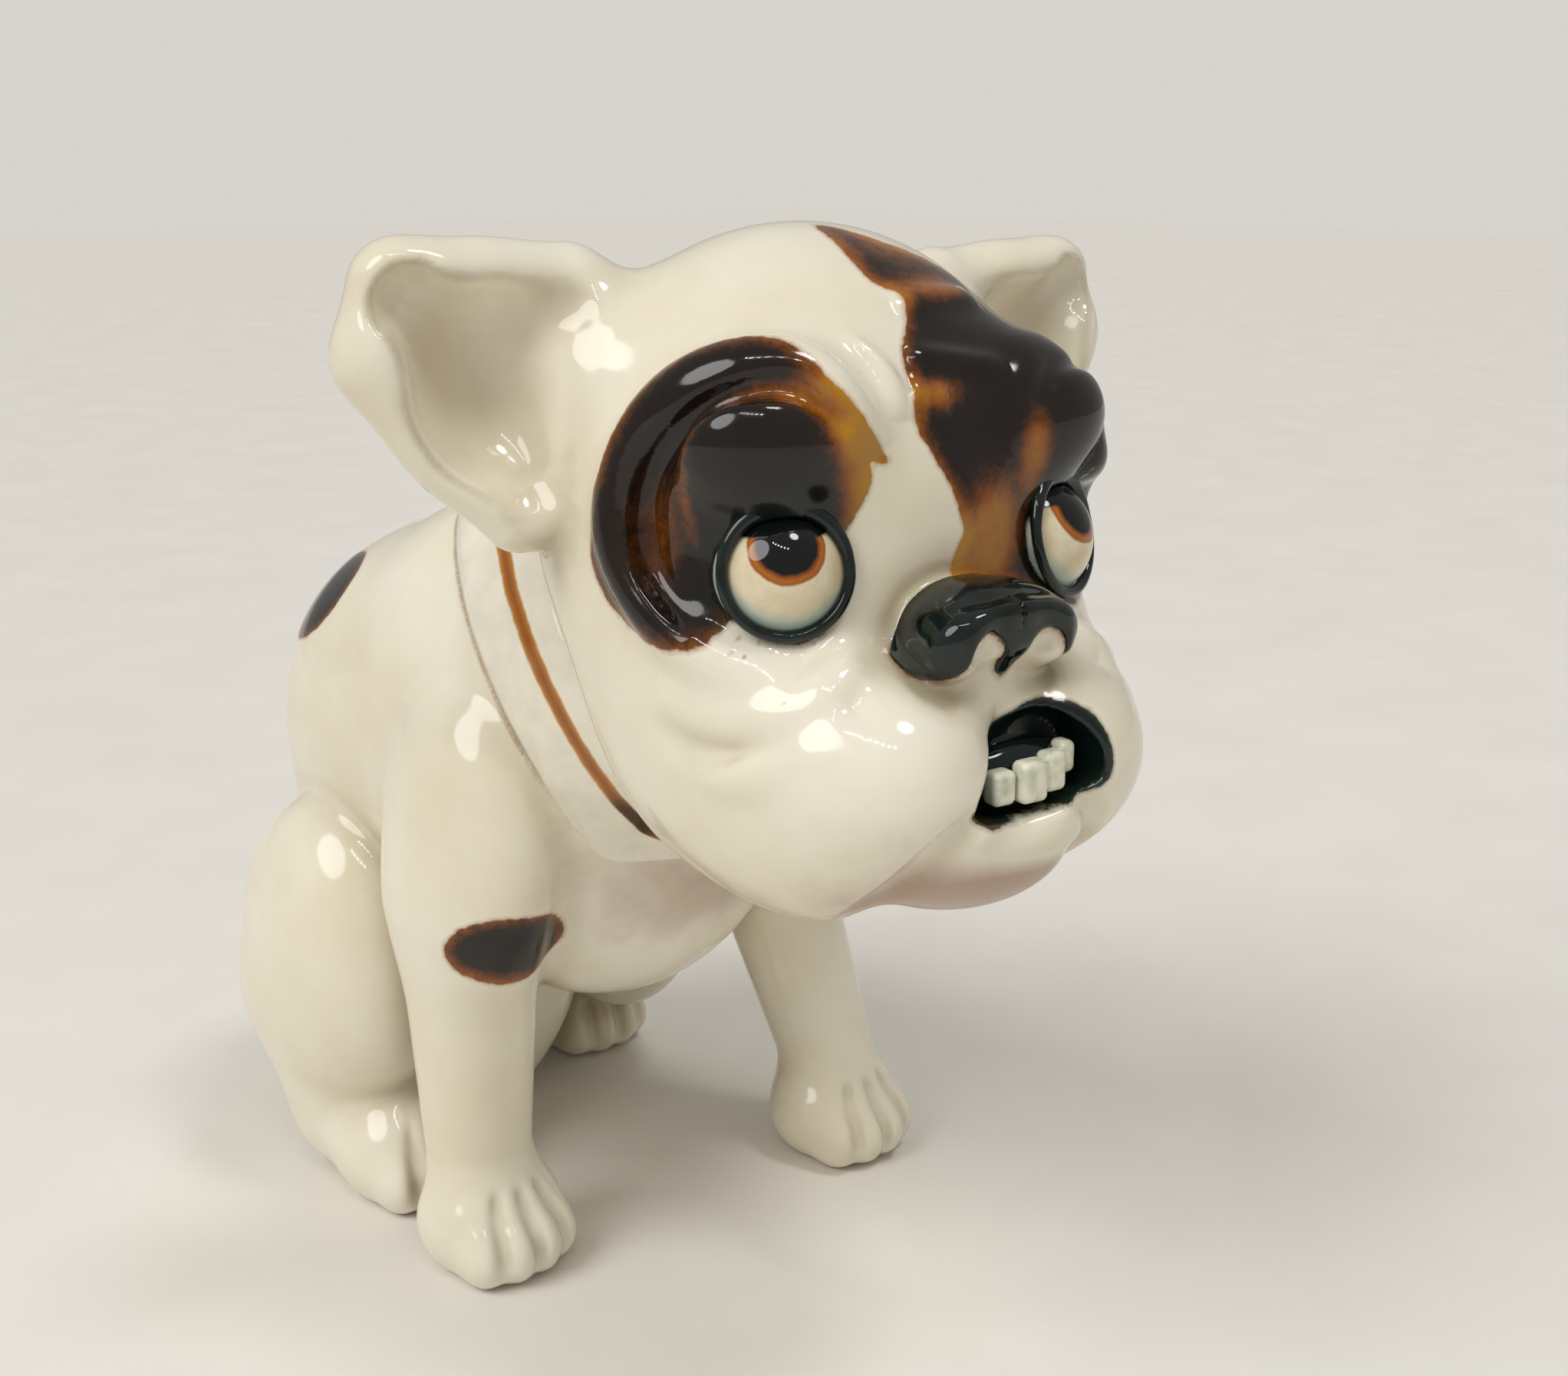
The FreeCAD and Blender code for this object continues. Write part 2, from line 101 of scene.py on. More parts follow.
# ---- Distance fields: clay forms, millimetres, negative inside ------------------------------
def spin(yaw, pitch, roll):
    """Rotation matrix: roll about X, then pitch about Y, then yaw about Z, in degrees."""
    a, b, c = (math.radians(v) for v in (yaw, pitch, roll))
    about_z = np.array([[math.cos(a), -math.sin(a), 0], [math.sin(a), math.cos(a), 0], [0, 0, 1]])
    about_y = np.array([[math.cos(b), 0, math.sin(b)], [0, 1, 0], [-math.sin(b), 0, math.cos(b)]])
    about_x = np.array([[1, 0, 0], [0, math.cos(c), -math.sin(c)], [0, math.sin(c), math.cos(c)]])
    return about_z @ about_y @ about_x


def length(v):
    """Length of each vector."""
    return np.sqrt((v * v).sum(-1))


def lump(p, centre, radii, turn=None):
    """Ellipsoid; turn is (yaw, pitch, roll) in degrees."""
    q = p - np.array(centre, dtype=float)
    if turn is not None:
        q = q @ spin(*turn)
    r = np.array(radii, dtype=float)
    near = length(q / r)
    return near * (near - 1) / np.maximum(length(q / (r * r)), 1e-9)


def taper(p, start, end, start_radius, end_radius):
    """Rod with round ends that widens or narrows from start to end."""
    a, b = np.array(start, dtype=float), np.array(end, dtype=float)
    along = b - a
    t = np.clip(((p - a) @ along) / (along @ along), 0, 1)
    return length(p - a - t[..., None] * along) - (start_radius + (end_radius - start_radius) * t)


def join(a, b, softness):
    """Both forms as one, with a blend about as wide as softness."""
    h = np.maximum(softness - np.abs(a - b), 0) / softness
    return np.minimum(a, b) - h * h * softness / 4


def press(clay, tool, softness):
    """Press the tool's shape out of the clay."""
    return -join(-clay, tool, softness)


def both_sides(p):
    """Points folded onto the dog's left."""
    return np.concatenate([np.abs(p[..., :1]), p[..., 1:]], -1)


def stretch(a, b, c, e, steps):
    """Points from b towards c on the smooth curve that passes a, b, c and e."""
    line = []
    for step in range(steps):
        t = step / steps
        line.append((2 * b + (c - a) * t + (2 * a - 5 * b + 4 * c - e) * t * t
                     + (3 * b - a - 3 * c + e) * t ** 3) / 2)
    return line


def smooth_line(points, steps=5):
    """Points along a smooth curve through the given ones."""
    p = [np.array(q, dtype=float) for q in points]
    p = [2 * p[0] - p[1]] + p + [2 * p[-1] - p[-2]]
    line = []
    for i in range(1, len(p) - 2):
        line += stretch(p[i - 1], p[i], p[i + 1], p[i + 2], steps)
    return np.array(line + [p[-2]])


def smooth_loop(points, steps=4):
    """Points along a smooth closed curve through the given ones."""
    p, line = np.array(points, dtype=float), []
    for i in range(len(p)):
        line += stretch(p[i - 1], p[i], p[(i + 1) % len(p)], p[(i + 2) % len(p)], steps)
    return np.array(line)


def fold(p, d, points, height, width, ends=0.25):
    """Raise a soft fold along a smooth line on the clay; a negative height presses a crease."""
    line = smooth_line(points)
    reach = 2.6 * width
    near = ((p > line.min(0) - reach) & (p < line.max(0) + reach)).all(-1)
    q = p[near]
    best, share = np.full(len(q), 1e9), np.zeros(len(q))
    for i in range(len(line) - 1):
        along = line[i + 1] - line[i]
        t = np.clip(((q - line[i]) @ along) / (along @ along), 0, 1)
        gap = length(q - line[i] - t[..., None] * along)
        closer = gap < best
        best = np.where(closer, gap, best)
        share = np.where(closer, (i + t) / (len(line) - 1), share)
    fade = np.clip(np.minimum(share, 1 - share) / ends, 0, 1)
    d = d.copy()
    height = np.broadcast_to(height, d.shape)[near]
    d[near] -= height * fade * (2 - fade) * np.exp(-(best / width) ** 2)
    return d


def inside_loop(flat, points):
    """Distance inside a smooth closed outline in a plane; negative outside it."""
    corners = smooth_loop(points)
    best, wraps = np.full(flat.shape[:-1], 1e9), np.zeros(flat.shape[:-1], bool)
    for a, b in zip(corners, np.roll(corners, -1, 0)):
        along = b - a
        t = np.clip(((flat - a) @ along) / (along @ along), 0, 1)
        best = np.minimum(best, length(flat - a - t[..., None] * along))
        if a[1] != b[1]:
            rising = (a[1] <= flat[..., 1]) != (b[1] <= flat[..., 1])
            wraps ^= rising & (flat[..., 0] < a[0] + (flat[..., 1] - a[1]) / (b[1] - a[1]) * along[0])
    return np.where(wraps, best, -best)


# ---- The head, in its own frame ---------------------------------------------------------------
# Forms are given on the dog's left and mirrored, unless a comment says otherwise.
EAR_ROOT, EAR_TIP, EAR_EDGE, EAR_FOOT = (26, -7, 46), (45, -6, 46), (47, -5.5, 39), (36, -13, 21)
EAR_RIM, EAR_FOOT_RIM = 4.7, 3.2        # half thickness of the rim, and where it ends on the cheek
LEFT_EAR_DROP = 2.2                     # the left ear sits this much lower
EAR_BOWLS = [                           # hollows from, to, and half width at each end
    ((37, -13, 37), (46, -11, 45), 6, 3.4), ((35, -15, 33), (35.5, -18, 23), 6, 3),
    ((35, -13, 39), (28, -14.5, 43), 6, 3.5)]


def ear(p):
    """The outside of the ear: a rolled rim over the top and down to the cheek, filled behind."""
    top = taper(p, EAR_ROOT, EAR_TIP, EAR_RIM - 0.1, EAR_RIM)
    d = join(top, taper(p, EAR_TIP, EAR_EDGE, EAR_RIM, EAR_RIM + 0.2), 4)
    d = join(d, taper(p, EAR_EDGE, EAR_FOOT, EAR_RIM + 0.2, EAR_FOOT_RIM), 4)
    return join(d, lump(p, (37, -7, 36), (10, 6.5, 13)), 6)


def ear_bowl(p):
    """The hollow of the ear."""
    d = lump(p, (37, -14.5, 36), (10, 9.5, 11))
    for bowl in EAR_BOWLS:
        d = join(d, taper(p, *bowl), 3)
    return d


def eye_ring(p):
    """Distance from the middle line of the rolled ring."""
    q = p - RING_MIDDLE
    along = q @ EYE_WAY
    out = np.sqrt(np.maximum((q * q).sum(-1) - along * along, 0))
    return np.sqrt((out - RING_RADIUS) ** 2 + along ** 2)


BROW_ROLL = [(19, -44, 8), (25, -39, 8.5), (29.5, -32, 13), (31, -26, 20), (29.5, -25.5, 29), (26, -29, 36),
             (20.5, -33.5, 39.5), (15, -37.5, 39.5), (11.5, -41, 35.5), (8, -42.5, 30)]
LID_CREASE = [(27.5, -36.5, 12), (28.5, -30, 18), (28, -28.5, 26), (26, -33, 33), (22.5, -37, 36.5),
              (17, -40, 37), (12, -42.5, 32.5)]
EAR_CREASE = [(47, -10, 48), (43, -8.5, 43), (38, -7, 37), (34, -9, 31), (32, -12, 25)]
UNDER_EYE = [(29, -31, 6), (27, -37.5, 3.5), (22, -44, 4.5), (17, -47, 8.5), (12.5, -46, 13.5)]
UNDER_EYE_2 = [(28, -36, -2.5), (25, -42, -2), (20, -47.5, 1), (16, -49.5, 5.5)]
UNDER_EYE_CREASE = [(30, -29, 2), (27.5, -37, -0.4), (23, -43.5, 0.6), (18, -48, 3.4), (14.5, -50.5, 7)]
FAR_BROW = [(24, -39, 27), (28.5, -35, 24), (31, -31, 18), (31, -30, 11)]
LIP_LINE = [(6.5, -58.5, -5.5), (10.6, -57, -8.9), (12.3, -53.8, -12.8), (12.8, -49, -16.5),
            (12, -42, -19.5)]
FOREHEAD = [                            # folds that aren't mirrored
    [(-9, -36, 44), (-5.5, -39.5, 39), (-4.5, -41, 33)], [(-1, -34, 44), (6, -32.6, 44.8), (14, -30, 44)],
    [(-2, -38.5, 39.5), (4.5, -38.6, 38.5), (11, -38.5, 37)], [(-3, -40, 36), (2.2, -40.5, 34.5)]]
# Outlines seen from ahead, across and up. They aren't mirrored.
MOUTH = [
    (-6.4, -5.2), (-4.4, -2.2), (-0.8, 1.2), (3.4, 3.1), (6.8, 2.9), (9.6, 0.4), (10.7, -2.7), (9.7, -4.9),
    (6.2, -6.2), (2.5, -6.9), (-2, -7), (-5.2, -6.6)]
NOSE = [
    (-9.2, 8.4), (-9.6, 12), (-8.8, 15.2), (-5.5, 17.3), (0, 17.8), (5.5, 17.3), (8.8, 15.2), (9.6, 12),
    (9.2, 8.9), (8.4, 8.2), (7, 9.4), (6, 11.6), (4.2, 12.5), (2.4, 11.4), (1.4, 8.4), (0.2, 7.4),
    (-0.9, 8.4), (-1.6, 11.4), (-3.4, 12.9), (-5.2, 12.2), (-6.2, 9.8), (-7.6, 7.6)]
MOUTH_BACK, NOSE_BACK = -51.5, -45.8    # how far back the mouth and the black pad reach
PAD = 0.5                               # how far the black pad stands out of the clay


def nose_form(p):
    """The clay nose under its black glaze: an arched roll with two wings and pressed nostrils."""
    d = lump(p, (0, -49.5, 12.6), (8.2, 6.2, 4.3))
    d = join(d, lump(p, (5.9, -51.8, 11.2), (2.7, 3.9, 3.5)), 2)
    d = fold(p, d, [(8.6, -52, 9.5), (8, -54, 12.4), (4.4, -55.6, 14.8), (0, -56, 15.2)], 1.1, 1.4, 0.02)
    return press(d, lump(p, (4, -57.4, 10.6), (2.3, 3.2, 1.9)), 1)


def head_base(p):
    """Skull, cheeks, hanging lips and brows."""
    skull = lump(p, (0, -15, 19.5), (31.5, 29, 33))
    cheek = lump(p, (12, -26, -1), (17.5, 20, 20))
    flew = lump(p, (10.5, -45.5, -3.5), (12.5, 13, 11.5))
    jowl = lump(p, (12.5, -37, -7.5), (12, 14.5, 14))
    bridge = taper(p, (0, -27, 6.5), (0, -45.5, 6.5), 7, 7)
    brow = lump(p, (15.5, -32, 30.5), (11, 9.5, 9))
    temple = lump(p, (21, -9, 36), (9, 8, 8.5))
    d = skull
    for form, softness in ((cheek, 10), (flew, 5), (jowl, 6), (bridge, 4), (brow, 6), (temple, 8)):
        d = join(d, form, softness)
    return d


def mouth(p):
    """The crooked open mouth, 6 mm deep."""
    d = np.full(p.shape[:-1], 9.0)
    near = length(p - np.array([2, -56, -2])) < 14
    q = p[near]
    d[near] = -join(inside_loop(q[:, ::2], MOUTH), MOUTH_BACK - q[:, 1], 2)
    return d


def head_clay(p):
    """The head casting with its ears and lower jaw."""
    q = both_sides(p)
    d = head_base(q)
    lower = q + np.where(p[..., :1] > 0, LEFT_EAR_DROP, 0) * np.array([0, 0, 1])
    d = join(d, press(ear(lower), ear_bowl(lower), 3), 6)
    jaw, lips = lump(q, (0, -44, -11.7), (14.5, 13.5, 8.5)), lump(q, (5.6, -54.5, -7.4), (4.5, 4, 3.2))
    d = join(d, join(jaw, lips, 3), 1.2)
    upper_lid = lump(q, (18, -35.5, 31.5), (9, 7, 7))
    d = join(d, upper_lid, 3)
    d = join(d, nose_form(q), 2.5)
    d = fold(lower, d, EAR_CREASE, -1.8, 2.6, 0.35)
    near = p[..., 0] < 0                # the dog's right, where the brow rolls and creases most
    d = fold(q, d, BROW_ROLL, np.where(near, 3.5, 0.6), 2.9)
    d = fold(q, d, LID_CREASE, np.where(near, -2.6, -0.8), 1.5)
    d = fold(q, d, FAR_BROW, np.where(near, 0, 3.2), 3.2)
    d = fold(q, d, UNDER_EYE, 2.0, 3.0, 0.4)
    d = fold(q, d, UNDER_EYE_CREASE, -1.3, 2.0, 0.45)
    d = fold(q, d, UNDER_EYE_2, 1.8, 2.6, 0.4)
    d = fold(q, d, LIP_LINE, -2.6, 1.7)
    for line in FOREHEAD:
        d = fold(p, d, line, 1.0, 1.5)
    d = press(d, length(q - EYE) - EYE_RADIUS, 0.6)
    # The chin and the gum follow the crooked mouth.
    chin, gum = lump(p, (2.2, -52.8, -9.6), (8.5, 5.6, 3.2)), lump(p, (2.8, -53.2, -3), (7, 2, 3))
    return join(press(join(d, chin, 2), mouth(p), 0.9), gum, 1.2)


# ---- Body, legs and collar, in the row frame --------------------------------------------------
def body_only(p):
    """Chest, back, rump and neck."""
    q = both_sides(p)
    chest, back = lump(q, (0, -29, 64), (28, 28, 32)), lump(q, (0, -3, 70), (28.5, 29, 27))
    rump, neck = lump(q, (0, 9, 36), (23, 21, 39)), taper(q, (0, -23, 78), PIVOT, 26.5, 24)
    return join(join(join(chest, back, 12), rump, 14), neck, 10)


TOES, TOE_FAN = 4, 25                   # toes on a paw, and degrees from one to the next
TOE_CREASE = ((5, 13.6), (8.6, 11), (12, 7), (12.8, 2))     # out from the paw's middle, and up


def paw(p, x, y):
    """A paw that points ahead, with its toes fanned out and a crease between each two."""
    d = lump(p, (x, y - 1, 6.6), (10.2, 9.6, 8.6))
    for toe in range(TOES):
        angle = math.radians(TOE_FAN * (toe - (TOES - 1) / 2))
        tip = (x + math.sin(angle) * 9, y - math.cos(angle) * 8.3, 4.7)
        d = join(d, lump(p, tip, (3.4, 4.8, 4.7)), 1.6)
    for gap in range(TOES - 1):
        angle = math.radians(TOE_FAN * (gap - (TOES - 2) / 2))
        crease = [(x + out * math.sin(angle), y - out * math.cos(angle), z) for out, z in TOE_CREASE]
        d = fold(p, d, crease, -0.75, 1.1, 0.3)
    return d


def front_leg(p, side, x, y):
    """Shoulder and straight leg down to a paw at x, y."""
    shoulder = lump(p, (side * 26, -35, 62), (9, 15, 20))
    leg = taper(p, (side * 26, -34, 52), (x, y + 1, 16), 9.5, 7.2)
    return join(join(shoulder, leg, 7), paw(p, x, y), 4)


def hind_leg(p, side, x, y):
    """Haunch, and a foot from the hock to a paw at x, y."""
    hock = (side * 23.5, y + 11, 9.5)
    d = lump(p, (side * 25, 0, 35), (12.5, 19, 24))
    d = join(d, taper(p, (x, y, 6.75), hock, 7.7, 7.9), 6)
    d = join(d, taper(p, hock, (side * 25, 7, 28), 7.9, 10), 6)
    return join(d, paw(p, x, y), 4)


# Side, and where the paw stands. The dog doesn't sit quite evenly.
FRONT_PAWS = ((-1, -25, -33.5), (1, 32, -44))
HIND_PAWS = ((-1, -22.5, -9.5), (1, 27, 13))


def body_clay(p):
    """Body, legs and tail, flat where they stand."""
    d = body_only(p)
    for side, x, y in FRONT_PAWS:
        d = join(d, front_leg(p, side, x, y), 3)
    for side, x, y in HIND_PAWS:
        d = join(d, hind_leg(p, side, x, y), 2.5)
    tail = taper(p, (0, 20.25, 16.2), (0, 37.3, 10.8), 5, 3)
    return np.maximum(join(d, tail, 3), -p[..., 2])


STRIPE_AT = (22.6, -51.7, 82)           # where the amber stripe passes, on both sides
STRIPE_BEND = 8                         # rounds its bend over the nape
COLLAR_HALF, COLLAR_SHIFT = 7.3, 1.2    # half width, and how far its middle lies behind the stripe
COLLAR_EDGE = COLLAR_HALF + COLLAR_SHIFT    # how far its back edge lies behind the stripe


def along_collar(p):
    """Distance ahead of the amber stripe, which sits high on the nape and low at the throat."""
    x = np.sqrt(p[..., 0] ** 2 + STRIPE_BEND ** 2)
    ahead, up = STRIPE_AT[1] - p[..., 1], p[..., 2] - STRIPE_AT[2]
    return 0.58 * (STRIPE_AT[0] - x) + 0.65 * ahead + 0.49 * up


def collar_band(p):
    """The band on the neck, 2 mm into the clay; it sinks into the throat below the jaw."""
    skin_gap, s = body_only(p), along_collar(p) + COLLAR_SHIFT
    across = np.clip(s / (COLLAR_HALF + 0.1), -1, 1)
    high = np.clip((p[..., 2] - 58) / 14, 0, 1)
    rise = 0.2 + 1.4 * (1 - across ** 6) * high - 0.7 * (1 - high) ** 2
    return np.maximum(np.maximum(skin_gap - rise, np.abs(s) - COLLAR_HALF), -skin_gap - 2)


# ---- Nose pad, teeth and eyes, in the head's own frame ----------------------------------------
def nose_clay(p):
    """The black pad: the nose within its dripping outline, a little proud of the clay."""
    pad = np.maximum(head_clay(p) - PAD, p[..., 1] - NOSE_BACK)
    return press(pad, inside_loop(p[..., ::2], NOSE) * 0.8, 0.9)


# Middle across and up, half width and half height of each tooth.
TEETH = [(-1.8, -3.8, 1.5, 1.9), (1.7, -3.5, 1.8, 2.3), (4.9, -3.0, 1.4, 2.2), (7.3, -2.0, 1.0, 1.8)]
TOOTH_EDGE = 0.8                        # radius of a tooth's rounded edges


def tooth_row(p):
    """Four rounded pegs on a shallow arc."""
    d = np.full(p.shape[:-1], 1e3)
    for x, z, half_width, half_height in TEETH:
        q = np.abs(p - np.array([x, -56.2 + 0.05 * (x - 2) ** 2, z]))
        box = np.maximum(q - np.array([half_width - TOOTH_EDGE, 0.5, half_height - TOOTH_EDGE]), 0)
        d = np.minimum(d, length(box) - TOOTH_EDGE)
    return d


def eye_ball(p):
    """The left eye."""
    return length(p - EYE) - EYE_RADIUS


def ring_clay(p):
    """The left eye's rolled ring, down onto the eye and thicker above it."""
    upper = np.clip((p[..., 2] - RING_MIDDLE[2]) / 7 - 0.2, 0, 1)
    return np.maximum(eye_ring(p) - RING_THIN - 0.5 * upper, EYE_RADIUS - RING_SINK - length(p - EYE))


def side_of(field, side):
    """The same field on the dog's left (1) or right (-1)."""
    return lambda p: field(p * np.array([side, 1, 1]))


# ---- Meshing a field ----------------------------------------------------------------------------
CORNERS = [(x, y, z) for x in (0, 1) for y in (0, 1) for z in (0, 1)]
BLOCK = 4                               # cells along one edge of a coarse block
BLOCK_REACH = 1.6                       # blocks whose middle is this many edges from the skin may hold it
SETTLES = 3                             # times that the points are drawn onto the skin


def in_chunks(function, points, size=150000):
    """The function's values at the points, a part of them at a time to save memory."""
    if len(points) == 0:
        return np.zeros(0)
    return np.concatenate([function(points[i:i + size]) for i in range(0, len(points), size)])


def gradient(field, p, step=0.02):
    """Unit outward direction of the field at each point."""
    parts = []
    for axis in range(3):
        shift = np.zeros(3)
        shift[axis] = step
        parts.append(in_chunks(field, p + shift) - in_chunks(field, p - shift))
    g = np.stack(parts, -1)
    return g / np.maximum(length(g), 1e-9)[:, None]


def skin(field, low, high, cell):
    """Points and quads of the field's surface between two corners, a cell apart.

    Blocks near the surface are found first and only their cells are sampled; each cell that the
    surface crosses gets one point, which is then drawn onto the surface."""
    low, high = np.array(low, dtype=float), np.array(high, dtype=float)
    blocks = np.ceil((high - low) / (cell * BLOCK)).astype(int)
    centres = low + (np.argwhere(np.ones(blocks)) + 0.5) * cell * BLOCK
    near = np.abs(in_chunks(field, centres)) < cell * BLOCK * BLOCK_REACH
    cells = np.kron(near.reshape(blocks), np.ones((BLOCK,) * 3)).astype(bool)
    size = np.array(cells.shape)
    wanted = np.zeros(size + 1, bool)
    for x, y, z in CORNERS:
        wanted[x:x + size[0], y:y + size[1], z:z + size[2]] |= cells
    value = np.ones(size + 1)
    value[wanted] = in_chunks(field, low + np.argwhere(wanted) * cell)
    inside = value < 0

    def corner(array, x, y, z):
        """The array's values at the same corner of every cell."""
        return array[x:x + size[0], y:y + size[1], z:z + size[2]]

    count = sum(corner(inside, *c).astype(int) for c in CORNERS)
    crossed = cells & (count > 0) & (count < 8)
    at = np.argwhere(crossed)
    index = np.full(cells.shape, -1)
    index[crossed] = np.arange(len(at))
    total, crossings = np.zeros((len(at), 3)), np.zeros(len(at))
    for a in CORNERS:
        for axis in range(3):
            if a[axis]:
                continue
            b = tuple(c + (i == axis) for i, c in enumerate(a))
            va, vb = corner(value, *a)[crossed], corner(value, *b)[crossed]
            cut = (va < 0) != (vb < 0)
            point = np.tile(np.array(a, dtype=float), (len(at), 1))
            point[:, axis] = np.where(cut, va / np.where(cut, va - vb, 1), 0)
            total += point * cut[:, None]
            crossings += cut
    points = low + (at + total / crossings[:, None]) * cell
    quads = []
    for axis in range(3):
        first, second = [i for i in range(3) if i != axis]
        starts = [slice(None)] * 3
        ends = [slice(None)] * 3
        starts[axis], ends[axis] = slice(0, -1), slice(1, None)
        flips = inside[tuple(starts)] != inside[tuple(ends)]
        where = np.argwhere(flips)
        where = where[(where[:, first] > 0) & (where[:, second] > 0)]
        where = where[(where[:, first] < size[first]) & (where[:, second] < size[second])]
        leaves = inside[tuple(where.T)]
        ring = []
        for a, b in ((1, 1), (0, 1), (0, 0), (1, 0)):
            near_cell = where.copy()
            near_cell[:, first] -= a
            near_cell[:, second] -= b
            ring.append(index[tuple(near_cell.T)])
        ring = np.stack(ring, -1)
        turned = leaves if axis != 1 else ~leaves
        ring[~turned] = ring[~turned][:, ::-1]
        quads.append(ring[(ring >= 0).all(-1)])
    for _ in range(SETTLES):
        way = gradient(field, points)
        points = points - way * np.clip(in_chunks(field, points), -cell, cell)[:, None]
    return points, np.concatenate(quads)


# ---- Painted marks ------------------------------------------------------------------------------
# Outlines on the head are (azimuth, elevation) in degrees seen from the middle of the skull, with
# azimuth 0 straight ahead and growing to the dog's left.
SKULL, SKULL_RADIUS = np.array([0, -18, 18]), 28
BROW_PATCH = [
    (-16, 24), (-22, 29.5), (-29, 35), (-35, 39.5), (-42, 43), (-48, 43.5), (-55, 42.5), (-63, 40),
    (-70, 35), (-75, 28), (-79, 18), (-83, 7), (-84, -2), (-78, -9), (-69, -12), (-58, -12.5),
    (-51, -9), (-53, 0), (-58, 12), (-57, 22), (-49, 31), (-38, 32), (-29, 28), (-21, 23.5)]
LID_PATCH = [
    (-60, 0), (-61, 20), (-53, 32), (-44, 35.5), (-36, 34), (-28, 29.5), (-22.5, 25), (-20.5, 21),
    (-23, 15), (-27, 9), (-33, 4), (-40, 2), (-47, -3), (-51, -9)]
BLAZE_PATCH = [
    (-31, 88), (-13, 74), (-7, 65), (2, 61), (0, 55), (-6, 48), (-7, 41), (-7, 31), (-3, 24),
    (1, 17), (3, 11), (4, 6), (1, 1), (1, -6), (12, -8), (24, -9), (34, -13), (45, -14), (58, -13),
    (69, -12), (78, -9), (84, -2), (83, 7), (79, 18), (76, 30), (72, 42), (66, 54), (40, 76)]
BLAZE_MIDDLE, BROW_MIDDLE = (32, 32), (-50, 18)


def heading(azimuth, elevation):
    """Unit direction of a bearing; azimuth 0 is straight ahead, and it grows to the dog's left."""
    a, e = math.radians(azimuth), math.radians(elevation)
    return np.array([math.sin(a) * math.cos(e), -math.cos(a) * math.cos(e), math.sin(e)])


def chart(ways, middle):
    """Directions from the skull laid flat about a middle one, in mm on the skull."""
    axis = heading(*middle)
    across = np.cross(axis, [0, 0, 1])
    across /= np.linalg.norm(across)
    up = np.cross(across, axis)
    angle = np.arccos(np.clip(ways @ axis, -1, 1))
    flat = np.stack([ways @ across, ways @ up], -1)
    return SKULL_RADIUS * flat * (angle / np.maximum(length(flat), 1e-9))[..., None]


def inside_line(points, outline, middle):
    """Distance inside a smooth outline drawn on the skull, mm; negative outside it."""
    ways = points - SKULL
    flat = chart(ways / length(ways)[:, None], middle)
    return inside_loop(flat, chart(np.array([heading(*c) for c in outline]), middle))


def glow(p, middle, radius):
    """1 at a place, fading to nothing about a radius away."""
    return np.exp(-(((p - np.array(middle)) / radius) ** 2).sum(-1))


# Where the black is thin enough to shine amber: how much, where, and how far it reaches.
THIN_PAINT = [
    (1.0, (-10.5, -43, 28), (3.0, 6, 6.5)), (0.9, (-10, -43, 32.5), (5, 5, 3)),
    (0.7, (-15, -42, 37), (7, 5, 1.6)), (0.5, (-28, -30, 22), (4, 4, 8)),
    (1.0, (13, -43, 28), (2.2, 7, 5)), (1.1, (7, -43.5, 21), (4.2, 6, 5.5)),
    (1.0, (2.5, -44, 18), (4, 5, 3.5)), (0.9, (0.5, -41, 35.5), (3.5, 5, 1.8)),
    (0.8, (8, -33, 46), (9, 5, 1.6)), (0.6, (6, -26, 50.5), (8, 6, 3.2))]


def hollowness(field, p, ways, reach=2.0):
    """How hollow the clay is: 0 on flat and rounded clay, towards 1 in a crease. It drives both pooled
    glaze and painted shade.
    """
    return np.clip(1 - in_chunks(field, p + ways * reach) / reach, 0, 1)


def head_marks(p, ways):
    """Where the head is black, thinly painted and green; painted shadow under the jaw; glaze pooled in
    creases and hollows, with painted shade there.
    """
    q = both_sides(p)
    near = np.maximum(inside_line(p, BROW_PATCH, BROW_MIDDLE), inside_line(p, LID_PATCH, BROW_MIDDLE))
    far = inside_line(p, BLAZE_PATCH, BLAZE_MIDDLE)
    rings = 0.9 - eye_ring(q)
    lips = 0.5 - mouth(p) + 1.3 * glow(p, (8, -56, 2), (5, 8, 4)) - 0.5 * glow(p, (3, -57, -7.5), (6, 6, 2))
    lips = np.minimum(lips, -50 - p[:, 1])
    nose = 0.1 - nose_clay(p)
    black = np.maximum(np.maximum(near, far), np.maximum(np.maximum(rings, lips), nose))
    thin = sum(much * glow(p, place, radii) for much, place, radii in THIN_PAINT)
    green = np.clip(3 * glow(p, (3, -56, -2), (9, 9, 6)) + 2 * glow(q, RING_MIDDLE, (7, 7, 7)), 0, 1)
    # Painted shade in the hollows of the ears.
    ear_bowl_shade = 0.8 * glow(q, (42, -9, 41), (5, 9, 6)) + 0.7 * glow(q, (37, -8, 34), (6, 9, 6))
    # Painted shadow under the jaw, lessened on the chin.
    shade = 1.7 * glow(p, (-1, -50, -17.5), (13, 12, 8)) - 1.1 * glow(p, (3, -57, -9), (8, 8, 3))
    return {"black": black, "thin": np.clip(thin, 0, 1), "green": green, "shade": np.clip(shade, 0, 1),
            "pool": hollowness(head_clay, p, ways),
            "wide_pool": np.maximum(hollowness(head_clay, p, ways, 5.0), ear_bowl_shade)}


def spot(p, middle, radii, turn):
    """Distance inside a painted spot."""
    return -lump(p, middle, radii, turn)


